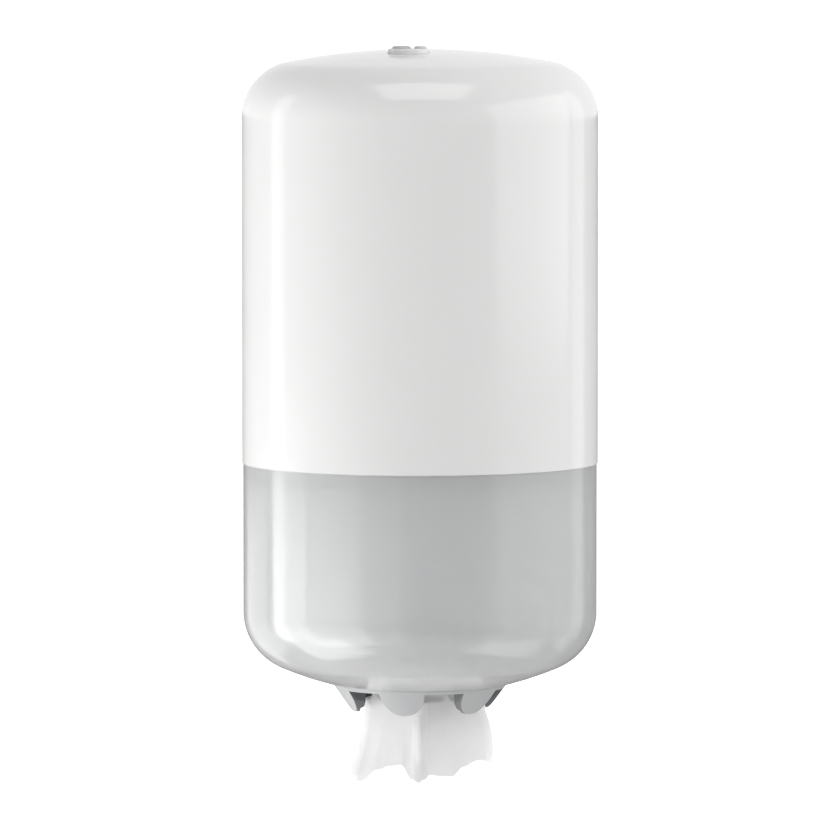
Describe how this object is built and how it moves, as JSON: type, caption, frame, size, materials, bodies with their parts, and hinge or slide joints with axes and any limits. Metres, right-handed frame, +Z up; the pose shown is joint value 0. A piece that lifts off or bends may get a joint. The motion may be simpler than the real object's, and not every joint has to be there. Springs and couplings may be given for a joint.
{
  "type": "centrefeed roll dispenser",
  "caption": "Wall dispenser for a centrefeed paper roll, with a round white cover on a bottom hinge, a crown lock and a turning lobed nozzle.",
  "frame": {"origin": "on the back plate's rear face, where it lies on the wall, on its middle line and 160 mm above the cover's lowest rim", "axes": "+Y into the wall, -Y to the front, +Z up, +X to the right seen from the front"},
  "size_m": [0.172, 0.165, 0.3567],
  "materials": {
    "white_gloss": "gloss moulded white",
    "smoke_translucent": "gloss translucent smoke",
    "white_plastic": "fine satin white",
    "grey_plastic": "satin mid grey",
    "light_grey_plastic": "satin light grey",
    "dark_grey_plastic": "satin dark grey",
    "screw_steel": "plain zinc plated",
    "paper": "soft crepe tissue"
  },
  "bodies": {
    "back": {"back_plate": "white_plastic", "catch_bracket": "light_grey_plastic", "catch_screw_1": "screw_steel", "catch_screw_2": "screw_steel", "hinge_pin_left": "screw_steel", "hinge_pin_right": "screw_steel"},
    "cover": {"cover_upper_shell": "white_gloss", "cover_lower_shell": "smoke_translucent", "roll_seat": "white_plastic", "seat_screw_1": "screw_steel", "seat_screw_2": "screw_steel", "seat_screw_3": "screw_steel", "seat_screw_4": "screw_steel", "nozzle_retainer": "grey_plastic", "retainer_screw_1": "screw_steel", "retainer_screw_2": "screw_steel", "retainer_screw_3": "screw_steel", "lock_bezel": "light_grey_plastic", "lock_frame": "white_plastic", "frame_screw_1": "screw_steel", "frame_screw_2": "screw_steel", "frame_screw_3": "screw_steel", "frame_screw_4": "screw_steel", "lever_pin": "screw_steel", "latch_spring": "screw_steel", "paper_roll": "paper"},
    "latch": {"latch_lever": "grey_plastic"},
    "button": {"lock_button": "dark_grey_plastic"},
    "key": {"key_barrel": "light_grey_plastic"},
    "nozzle": {"nozzle": "grey_plastic", "paper_tail": "paper"}
  },
  "joints": [
    {"name": "cover_hinge", "type": "hinge", "parent": "back", "child": "cover", "pos_m": [0, -0.013, -0.1425], "axis": [1, 0, 0], "range_deg": [0, 45]},
    {"name": "latch_lift", "type": "hinge", "parent": "cover", "child": "latch", "pos_m": [0, -0.059, 0.131], "axis": [1, 0, 0], "range_deg": [0, 3.9], "stiffness_Nm_per_rad": 1.5, "springref_deg": -2.86, "deforming": ["latch_spring"]},
    {"name": "button_press", "type": "slide", "parent": "cover", "child": "button", "axis": [0, 0, -1], "range_m": [0, 0.003]},
    {"name": "key_turn", "type": "hinge", "parent": "cover", "child": "key", "pos_m": [0.0058, -0.103, 0.1425], "axis": [0, 0, 1], "range_deg": [0, 90]},
    {"name": "nozzle_spin", "type": "hinge", "parent": "cover", "child": "nozzle", "pos_m": [0, -0.079, -0.16], "axis": [0, 0, 1], "continuous": true}
  ],
  "couplings": [
    {"joint": "button_press", "follows": "latch_lift", "m_per_rad": 0.044}
  ]
}
